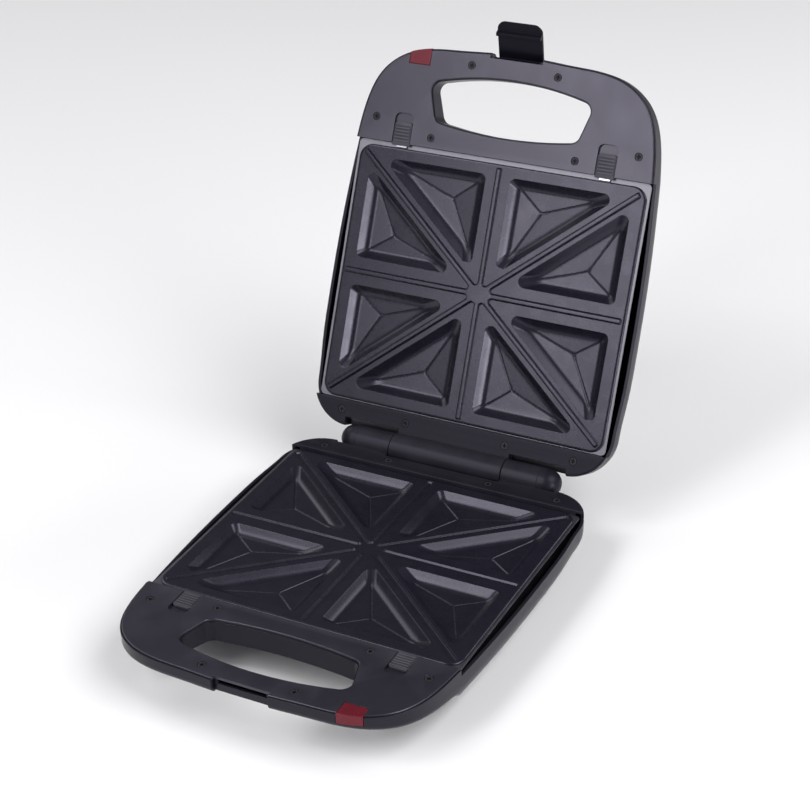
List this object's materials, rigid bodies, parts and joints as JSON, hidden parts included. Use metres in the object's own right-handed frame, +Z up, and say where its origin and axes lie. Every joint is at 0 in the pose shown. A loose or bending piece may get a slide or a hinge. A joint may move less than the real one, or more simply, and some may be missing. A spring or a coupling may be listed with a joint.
{
  "type": "sandwich toaster",
  "caption": "Countertop sandwich toaster: a hinged lid over a base, pocketed cooking plates with releases, loop handles, a latch and pilot lights.",
  "frame": {"origin": "middle of the bounding box's footprint, on the surface that the feet stand on", "axes": "+Z up, -Y towards the user (the handles' side), +X to the user's right; lid stored open"},
  "size_m": [0.2798, 0.4932, 0.3778],
  "materials": {
    "base_cover": "black satin plastic with a fine texture",
    "base_handle_panel": "black satin plastic",
    "base_hinge_panel": "black satin plastic",
    "base_panel_screws": "blackened",
    "base_heat_tray": "bright sheet",
    "base_heating_element": "heat-darkened tube",
    "base_element_clips": "plain sheet",
    "base_tray_screws": "plain",
    "base_thermostat": "ceramic-like moulding",
    "base_thermal_fuse": "plain",
    "base_cooking_plate": "cast aluminium with a dark non-stick coating",
    "base_catch_springs": "plain spring sheet",
    "base_catch_screws": "plain",
    "base_release_left": "black",
    "base_release_right": "black",
    "base_lens": "translucent red",
    "base_neon_lamp": "clear bulb",
    "lid_cover": "black satin plastic with a fine texture",
    "lid_handle_panel": "black satin plastic",
    "lid_hinge_panel": "black satin plastic",
    "lid_panel_screws": "blackened",
    "lid_heat_tray": "bright sheet",
    "lid_heating_element": "heat-darkened tube",
    "lid_element_clips": "plain sheet",
    "lid_tray_screws": "plain",
    "lid_thermostat": "ceramic-like moulding",
    "lid_thermal_fuse": "plain",
    "lid_cooking_plate": "cast aluminium with a dark non-stick coating",
    "lid_catch_springs": "plain spring sheet",
    "lid_catch_screws": "plain",
    "lid_release_left": "black",
    "lid_release_right": "black",
    "lid_lens": "translucent red",
    "lid_neon_lamp": "clear bulb",
    "feet": "matt",
    "hinge_shaft": "plain",
    "hinge_caps": "black satin plastic",
    "cord_gland": "matt",
    "terminal_block": "cream",
    "latch": "black, slightly shiny",
    "latch_pin": "plain"
  },
  "bodies": {
    "base": {"base_cover": "base_cover", "base_handle_panel": "base_handle_panel", "base_hinge_panel": "base_hinge_panel", "base_panel_screws": "base_panel_screws", "base_heat_tray": "base_heat_tray", "base_heating_element": "base_heating_element", "base_element_clips": "base_element_clips", "base_tray_screws": "base_tray_screws", "base_thermostat": "base_thermostat", "base_thermal_fuse": "base_thermal_fuse", "base_catch_springs": "base_catch_springs", "base_catch_screws": "base_catch_screws", "base_lens": "base_lens", "base_neon_lamp": "base_neon_lamp", "feet": "feet", "hinge_shaft": "hinge_shaft", "hinge_caps": "hinge_caps", "cord_gland": "cord_gland", "terminal_block": "terminal_block"},
    "lid": {"lid_cover": "lid_cover", "lid_handle_panel": "lid_handle_panel", "lid_hinge_panel": "lid_hinge_panel", "lid_panel_screws": "lid_panel_screws", "lid_heat_tray": "lid_heat_tray", "lid_heating_element": "lid_heating_element", "lid_element_clips": "lid_element_clips", "lid_tray_screws": "lid_tray_screws", "lid_thermostat": "lid_thermostat", "lid_thermal_fuse": "lid_thermal_fuse", "lid_catch_springs": "lid_catch_springs", "lid_catch_screws": "lid_catch_screws", "lid_lens": "lid_lens", "lid_neon_lamp": "lid_neon_lamp", "latch_pin": "latch_pin"},
    "base_cooking_plate": {"base_cooking_plate": "base_cooking_plate"},
    "base_release_left": {"base_release_left": "base_release_left"},
    "base_release_right": {"base_release_right": "base_release_right"},
    "latch": {"latch": "latch"},
    "lid_cooking_plate": {"lid_cooking_plate": "lid_cooking_plate"},
    "lid_release_left": {"lid_release_left": "lid_release_left"},
    "lid_release_right": {"lid_release_right": "lid_release_right"}
  },
  "joints": [
    {"name": "lid_hinge", "type": "hinge", "parent": "base", "child": "lid", "pos_m": [0, 0.09122, 0.04665], "axis": [-1, 0, 0], "range_deg": [-115.14, 0]},
    {"name": "latch_hinge", "type": "hinge", "parent": "lid", "child": "latch", "pos_m": [0, 0.24292, 0.34319], "axis": [-1, 0, 0], "range_deg": [-60, 35]},
    {"name": "base_release_left_slide", "type": "slide", "parent": "base", "child": "base_release_left", "axis": [0, -1, 0], "range_m": [0, 0.003], "stiffness_N_per_m": 400, "deforming": ["base_catch_springs"]},
    {"name": "base_release_right_slide", "type": "slide", "parent": "base", "child": "base_release_right", "axis": [0, -1, 0], "range_m": [0, 0.003], "stiffness_N_per_m": 400, "deforming": ["base_catch_springs"]},
    {"name": "lid_release_left_slide", "type": "slide", "parent": "lid", "child": "lid_release_left", "axis": [0, 0.4248, 0.9053], "range_m": [0, 0.003], "stiffness_N_per_m": 400, "deforming": ["lid_catch_springs"]},
    {"name": "lid_release_right_slide", "type": "slide", "parent": "lid", "child": "lid_release_right", "axis": [0, 0.4248, 0.9053], "range_m": [0, 0.003], "stiffness_N_per_m": 400, "deforming": ["lid_catch_springs"]},
    {"name": "base_plate_lift", "type": "slide", "parent": "base", "child": "base_cooking_plate", "axis": [0, 0, 1], "range_m": [0, 0.03], "deforming": ["base_catch_springs"]},
    {"name": "lid_plate_lift", "type": "slide", "parent": "lid", "child": "lid_cooking_plate", "axis": [0, -0.9053, 0.4248], "range_m": [0, 0.03], "deforming": ["lid_catch_springs"]}
  ]
}
